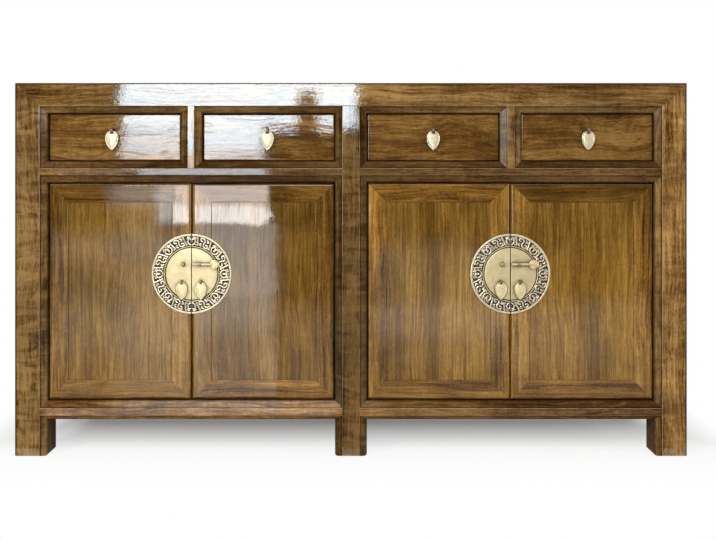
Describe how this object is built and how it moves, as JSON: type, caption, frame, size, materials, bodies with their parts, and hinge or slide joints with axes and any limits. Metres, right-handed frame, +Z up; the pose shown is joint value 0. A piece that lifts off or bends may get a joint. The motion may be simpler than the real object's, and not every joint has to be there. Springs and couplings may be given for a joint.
{
  "type": "sideboard",
  "caption": "Low wide hardwood cabinet with a row of drawers over pairs of framed doors, on square post legs, with split round brass lock plates, sliding lock pins and leaf drop pulls.",
  "frame": {"origin": "on the floor, under the middle of the cabinet", "axes": "+X along the cabinet to the right as seen from the front, +Y to the back, +Z up"},
  "size_m": [1.52, 0.4, 0.845],
  "materials": {
    "frame_wood": "dark stain under gloss lacquer",
    "door_wood": "brown stain under gloss lacquer",
    "panel_wood": "brown stain under gloss lacquer",
    "drawer_wood": "brown stain under gloss lacquer",
    "inside_wood": "plain, thinly oiled",
    "brass": "pale polished brass"
  },
  "bodies": {
    "carcase": {"back_panels": "inside_wood", "bottom_rails": "frame_wood", "center_partition": "inside_wood", "door_stops": "inside_wood", "drawer_dividers": "frame_wood", "drawer_rails": "frame_wood", "drawer_runners": "inside_wood", "end_panels": "panel_wood", "end_rails": "frame_wood", "floor_panels": "inside_wood", "left_front_post": "frame_wood", "middle_front_post": "frame_wood", "rear_posts": "frame_wood", "rear_rails": "inside_wood", "right_front_post": "frame_wood", "shelf_cleats": "inside_wood", "shelves": "inside_wood", "top_battens": "inside_wood", "top_end_rails": "frame_wood", "top_front_rail": "frame_wood", "top_panel": "panel_wood", "top_rear_rail": "frame_wood"},
    "drawer_1": {"drawer_1_front": "drawer_wood", "drawer_1_box": "inside_wood", "drawer_1_pull_loop": "brass"},
    "drawer_pull_1": {"drawer_1_pull": "brass"},
    "door_1": {"door_1_frame": "door_wood", "door_1_panel": "panel_wood", "door_1_lock_plate": "brass", "door_1_fittings": "brass"},
    "door_pull_1": {"door_1_pull": "brass"},
    "drawer_2": {"drawer_2_front": "drawer_wood", "drawer_2_box": "inside_wood", "drawer_2_pull_loop": "brass"},
    "drawer_pull_2": {"drawer_2_pull": "brass"},
    "door_2": {"door_2_frame": "door_wood", "door_2_panel": "panel_wood", "door_2_lock_plate": "brass", "door_2_fittings": "brass"},
    "door_pull_2": {"door_2_pull": "brass"},
    "drawer_3": {"drawer_3_front": "drawer_wood", "drawer_3_box": "inside_wood", "drawer_3_pull_loop": "brass"},
    "drawer_pull_3": {"drawer_3_pull": "brass"},
    "door_3": {"door_3_frame": "door_wood", "door_3_panel": "panel_wood", "door_3_lock_plate": "brass", "door_3_fittings": "brass"},
    "door_pull_3": {"door_3_pull": "brass"},
    "drawer_4": {"drawer_4_front": "drawer_wood", "drawer_4_box": "inside_wood", "drawer_4_pull_loop": "brass"},
    "drawer_pull_4": {"drawer_4_pull": "brass"},
    "door_4": {"door_4_frame": "door_wood", "door_4_panel": "panel_wood", "door_4_lock_plate": "brass", "door_4_fittings": "brass"},
    "door_pull_4": {"door_4_pull": "brass"},
    "lock_pin_left": {"lock_pin_left": "brass"},
    "lock_pin_right": {"lock_pin_right": "brass"}
  },
  "joints": [
    {"name": "drawer_1_slide", "type": "slide", "parent": "carcase", "child": "drawer_1", "axis": [0, -1, 0], "range_m": [0, 0.26]},
    {"name": "drawer_2_slide", "type": "slide", "parent": "carcase", "child": "drawer_2", "axis": [0, -1, 0], "range_m": [0, 0.26]},
    {"name": "drawer_3_slide", "type": "slide", "parent": "carcase", "child": "drawer_3", "axis": [0, -1, 0], "range_m": [0, 0.26]},
    {"name": "drawer_4_slide", "type": "slide", "parent": "carcase", "child": "drawer_4", "axis": [0, -1, 0], "range_m": [0, 0.26]},
    {"name": "drawer_pull_1_swing", "type": "hinge", "parent": "drawer_1", "child": "drawer_pull_1", "pos_m": [-0.543, -0.1905, 0.73725], "axis": [-1, 0, 0], "range_deg": [0, 80]},
    {"name": "drawer_pull_2_swing", "type": "hinge", "parent": "drawer_2", "child": "drawer_pull_2", "pos_m": [-0.19, -0.1905, 0.73725], "axis": [-1, 0, 0], "range_deg": [0, 80]},
    {"name": "drawer_pull_3_swing", "type": "hinge", "parent": "drawer_3", "child": "drawer_pull_3", "pos_m": [0.187, -0.1905, 0.73725], "axis": [-1, 0, 0], "range_deg": [0, 80]},
    {"name": "drawer_pull_4_swing", "type": "hinge", "parent": "drawer_4", "child": "drawer_pull_4", "pos_m": [0.5391, -0.1905, 0.73725], "axis": [-1, 0, 0], "range_deg": [0, 80]},
    {"name": "door_1_hinge", "type": "hinge", "parent": "carcase", "child": "door_1", "pos_m": [-0.6755, -0.179, 0.374], "axis": [0, 0, -1], "range_deg": [0, 100]},
    {"name": "door_2_hinge", "type": "hinge", "parent": "carcase", "child": "door_2", "pos_m": [-0.0485, -0.179, 0.374], "axis": [0, 0, 1], "range_deg": [0, 88]},
    {"name": "door_3_hinge", "type": "hinge", "parent": "carcase", "child": "door_3", "pos_m": [0.0485, -0.179, 0.374], "axis": [0, 0, -1], "range_deg": [0, 88]},
    {"name": "door_4_hinge", "type": "hinge", "parent": "carcase", "child": "door_4", "pos_m": [0.6755, -0.179, 0.374], "axis": [0, 0, 1], "range_deg": [0, 100]},
    {"name": "door_pull_1_swing", "type": "hinge", "parent": "door_1", "child": "door_pull_1", "pos_m": [-0.3837, -0.1943, 0.39385], "axis": [-1, 0, 0], "range_deg": [0, 80]},
    {"name": "door_pull_2_swing", "type": "hinge", "parent": "door_2", "child": "door_pull_2", "pos_m": [-0.3403, -0.1943, 0.39385], "axis": [-1, 0, 0], "range_deg": [0, 80]},
    {"name": "door_pull_3_swing", "type": "hinge", "parent": "door_3", "child": "door_pull_3", "pos_m": [0.3403, -0.1943, 0.39385], "axis": [-1, 0, 0], "range_deg": [0, 80]},
    {"name": "door_pull_4_swing", "type": "hinge", "parent": "door_4", "child": "door_pull_4", "pos_m": [0.3837, -0.1943, 0.39385], "axis": [-1, 0, 0], "range_deg": [0, 80]},
    {"name": "lock_pin_left_slide", "type": "slide", "parent": "door_2", "child": "lock_pin_left", "axis": [1, 0, 0], "range_m": [-0.02, 0]},
    {"name": "lock_pin_right_slide", "type": "slide", "parent": "door_4", "child": "lock_pin_right", "axis": [1, 0, 0], "range_m": [-0.02, 0]}
  ]
}
